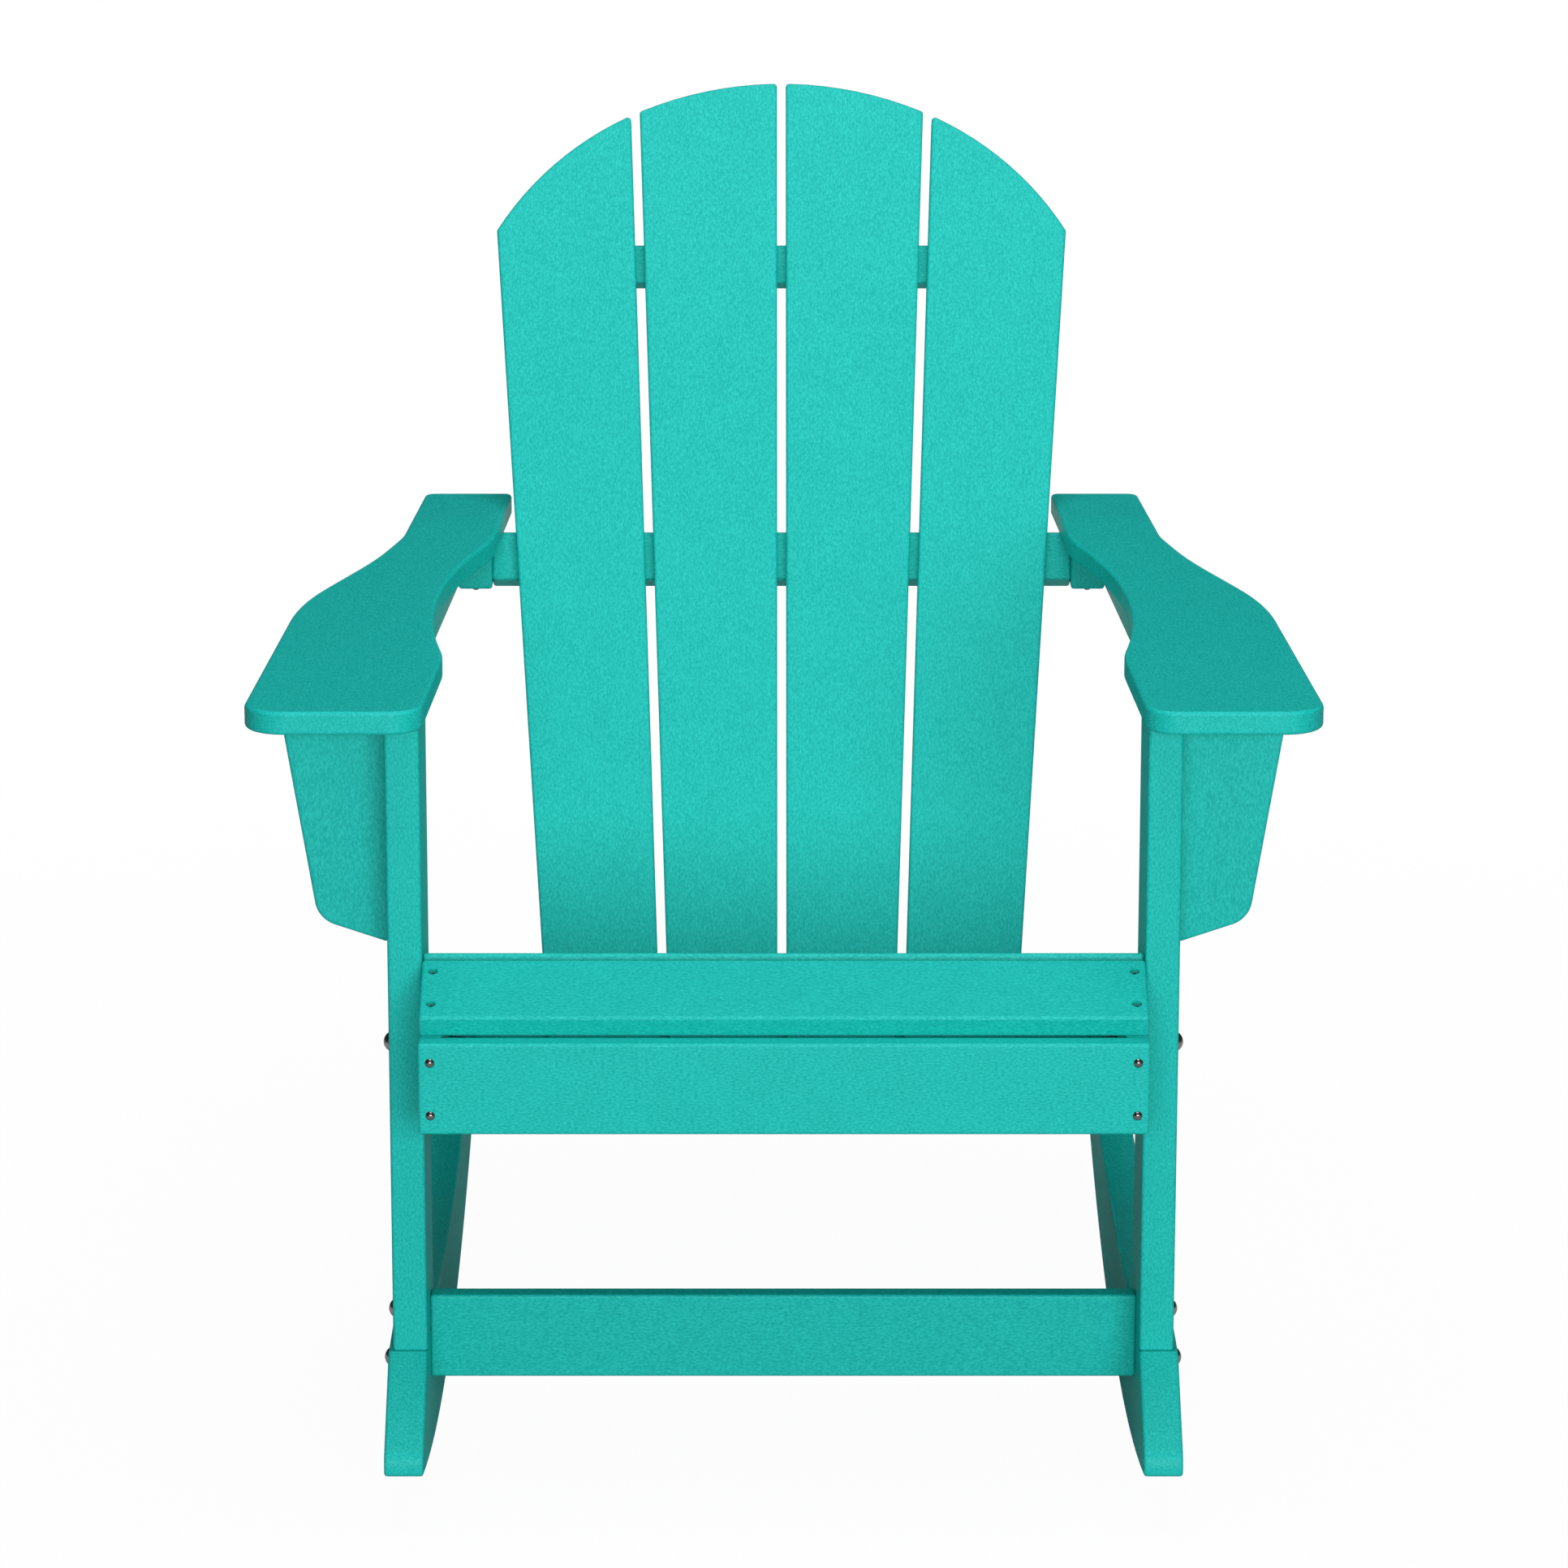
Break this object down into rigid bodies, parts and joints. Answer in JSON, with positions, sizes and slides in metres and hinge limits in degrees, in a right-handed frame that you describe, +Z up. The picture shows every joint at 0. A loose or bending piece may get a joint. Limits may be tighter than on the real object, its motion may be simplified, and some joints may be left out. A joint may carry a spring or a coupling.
{
  "type": "rocking adirondack chair",
  "caption": "Teal outdoor rocking chair of solid plastic lumber with a fanned, round-topped slat back, a sloped slat seat, wide shaped arms and curved rockers.",
  "frame": {"origin": "on the floor, below the middle of the chair's width and depth; the floor is the plane that the rockers' undersides touch", "axes": "+Z up; the chair faces -Y, so +Y runs from the seat's front to the back; +X to the right in a view from the front; the chair stands at rest on its rockers"},
  "size_m": [0.8044, 0.8982, 0.9784],
  "materials": {
    "lumber": "matt teal plastic lumber with a faint fine grain",
    "plug": "matt teal screw heads",
    "dark_screw": "dark bronze coated screw heads, glossy",
    "steel_screw": "plain stainless steel",
    "bolt": "polished stainless steel",
    "dowel": "dark plastic pins inside the boards"
  },
  "bodies": {
    "root": {"apron": "lumber", "apron_screws": "dark_screw", "arm_block_left": "lumber", "arm_block_right": "lumber", "arm_bracket_left": "lumber", "arm_bracket_right": "lumber", "arm_dowels": "dowel", "arm_left": "lumber", "arm_rail_left": "lumber", "arm_rail_right": "lumber", "arm_right": "lumber", "back_slat_inner_left": "lumber", "back_slat_inner_right": "lumber", "back_slat_outer_left": "lumber", "back_slat_outer_right": "lumber", "back_slat_screws": "steel_screw", "block_screws": "steel_screw", "bracket_screws": "plug", "foot_dowels": "dowel", "front_leg_left": "lumber", "front_leg_right": "lumber", "front_stretcher": "lumber", "front_stretcher_bolts": "bolt", "lower_back_brace": "lumber", "lower_brace_screws": "steel_screw", "mid_back_brace": "lumber", "rail_screws": "steel_screw", "rear_leg_left": "lumber", "rear_leg_right": "lumber", "rear_stretcher": "lumber", "rear_stretcher_bolts": "bolt", "rocker_left": "lumber", "rocker_right": "lumber", "seat_screws": "plug", "seat_slat_2": "lumber", "seat_slat_3": "lumber", "seat_slat_4": "lumber", "seat_slat_5": "lumber", "seat_slat_6": "lumber", "seat_slat_7": "lumber", "seat_slat_front": "lumber", "seat_stringer_left": "lumber", "seat_stringer_right": "lumber", "stringer_bolts": "bolt", "stringer_nuts": "bolt", "stringer_washers": "bolt", "upper_back_brace": "lumber"}
  },
  "joints": []
}
